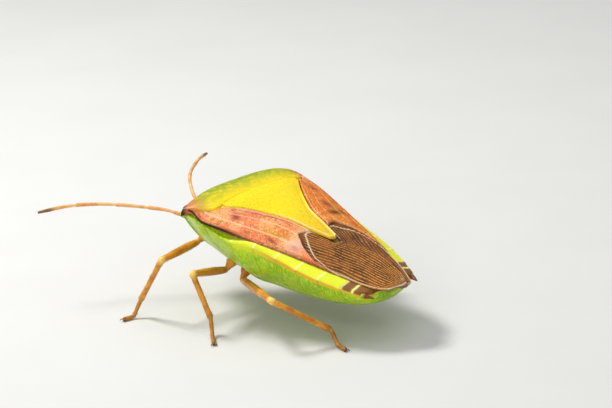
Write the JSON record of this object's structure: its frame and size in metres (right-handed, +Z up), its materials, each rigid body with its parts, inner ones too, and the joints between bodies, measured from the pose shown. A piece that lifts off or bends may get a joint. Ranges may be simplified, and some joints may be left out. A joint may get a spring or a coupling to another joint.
{
  "type": "shield bug figure",
  "caption": "Life-size still figure of a shield bug standing on its legs, with swept-back feelers, a triangular shield and folded wings.",
  "frame": {"origin": "on the floor under the middle of the outline seen from above", "axes": "+Z up, -Y the way the head points, +X the insect's left side"},
  "size_m": [0.0164, 0.0252, 0.0083],
  "materials": {
    "underside": "leaf green chitin, satin",
    "shield": "yellow chitin with fine pits, glossy",
    "forewing": "salmon-brown chitin with a dark veined membrane, glossy",
    "leg": "ochre chitin, satin",
    "feeler": "pale orange chitin, satin",
    "eye": "dark red-brown, glossy"
  },
  "bodies": {
    "root": {"abdomen": "underside", "antenna_left": "feeler", "antenna_right": "feeler", "beak": "leg", "eye_left": "eye", "eye_right": "eye", "forewing_left": "forewing", "forewing_right": "forewing", "head": "underside", "leg_left_front_femur": "leg", "leg_left_front_tarsus": "leg", "leg_left_front_tibia": "leg", "leg_left_hind_femur": "leg", "leg_left_hind_tarsus": "leg", "leg_left_hind_tibia": "leg", "leg_left_middle_femur": "leg", "leg_left_middle_tarsus": "leg", "leg_left_middle_tibia": "leg", "leg_right_front_femur": "leg", "leg_right_front_tarsus": "leg", "leg_right_front_tibia": "leg", "leg_right_hind_femur": "leg", "leg_right_hind_tarsus": "leg", "leg_right_hind_tibia": "leg", "leg_right_middle_femur": "leg", "leg_right_middle_tarsus": "leg", "leg_right_middle_tibia": "leg", "pronotum": "shield", "scutellum": "shield", "thorax": "underside"}
  },
  "joints": []
}
